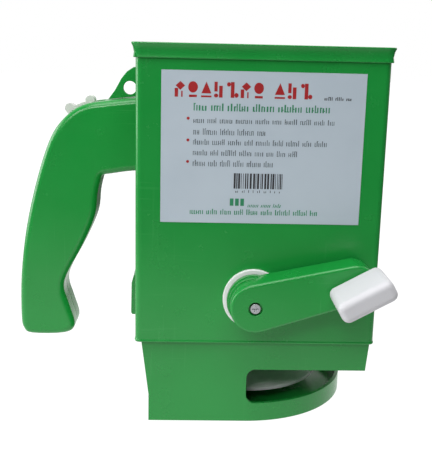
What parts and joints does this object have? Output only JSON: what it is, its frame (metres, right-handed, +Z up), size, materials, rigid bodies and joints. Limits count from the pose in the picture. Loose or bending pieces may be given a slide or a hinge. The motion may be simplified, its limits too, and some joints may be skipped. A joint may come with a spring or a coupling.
{
  "type": "hand-held rotary spreader",
  "caption": "Hand-held crank spreader: open box hopper with a thumb-controlled feed shutter over a geared spinning disc, closed handle behind and crank at the side.",
  "frame": {"origin": "where the upright impeller axis meets the flat underside of the base", "axes": "+X towards the discharge side, -X towards the handle, -Y towards the crank side, +Z up"},
  "size_m": [0.2238, 0.1987, 0.2246],
  "materials": {
    "green_plastic": "glossy moulded polypropylene",
    "dark_green_plastic": "glossy moulded polypropylene",
    "white_plastic": "satin natural plastic",
    "label_stock": "printed film",
    "steel": "zinc plated"
  },
  "bodies": {
    "frame": {"hopper": "green_plastic", "hanging_rib": "green_plastic", "base": "green_plastic", "label": "label_stock", "handle_left_shell": "green_plastic", "handle_right_shell": "green_plastic", "handle_screws": "steel", "flow_lever_pin": "steel", "rod_guide": "green_plastic", "gate_lever_pin": "steel", "linkage_guard": "green_plastic", "shutter_rails": "green_plastic", "rail_screws": "steel", "crank_bush": "white_plastic", "gear_housing": "dark_green_plastic", "gear_housing_screws": "steel", "inner_bush": "white_plastic", "upper_bush": "white_plastic", "lower_bush": "white_plastic", "base_screws": "steel"},
    "crank": {"crank_arm": "green_plastic", "crank_shaft": "steel", "crank_screw": "steel", "crank_washer": "steel", "knob_pin": "steel", "crown_gear": "white_plastic", "agitator": "white_plastic"},
    "knob": {"crank_knob": "white_plastic"},
    "impeller": {"impeller": "white_plastic", "impeller_shaft": "steel", "pinion": "white_plastic", "impeller_clip": "steel"},
    "flow_lever": {"flow_lever": "white_plastic"},
    "control_rod": {"control_rod": "steel"},
    "gate_lever": {"gate_lever": "white_plastic"},
    "gate": {"shutter": "white_plastic"}
  },
  "joints": [
    {"name": "crank_spin", "type": "hinge", "parent": "frame", "child": "crank", "pos_m": [0, 0, 0.0796], "axis": [0, 1, 0], "continuous": true},
    {"name": "knob_spin", "type": "hinge", "parent": "crank", "child": "knob", "pos_m": [0.05608, 0, 0.09442], "axis": [0, 1, 0], "continuous": true},
    {"name": "impeller_spin", "type": "hinge", "parent": "frame", "child": "impeller", "pos_m": [0, 0, 0], "axis": [0, 0, 1], "continuous": true},
    {"name": "flow_lever_swing", "type": "hinge", "parent": "frame", "child": "flow_lever", "pos_m": [-0.1006, 0, 0.165], "axis": [0, 1, 0], "range_deg": [-10, 10]},
    {"name": "control_rod_slide", "type": "slide", "parent": "frame", "child": "control_rod", "axis": [0, 0, 1], "range_m": [-0.0053, 0.0053]},
    {"name": "gate_lever_swing", "type": "hinge", "parent": "frame", "child": "gate_lever", "pos_m": [-0.073, 0.0155, 0.0624], "axis": [1, 0, 0], "range_deg": [-24, 24]},
    {"name": "shutter_slide", "type": "slide", "parent": "frame", "child": "gate", "axis": [0, 1, 0], "range_m": [-0.0053, 0.0053]}
  ],
  "couplings": [
    {"joint": "impeller_spin", "follows": "crank_spin", "ratio": -3},
    {"joint": "control_rod_slide", "follows": "flow_lever_swing", "m_per_rad": -0.03},
    {"joint": "gate_lever_swing", "follows": "flow_lever_swing", "ratio": 2.39},
    {"joint": "shutter_slide", "follows": "flow_lever_swing", "m_per_rad": 0.03}
  ]
}
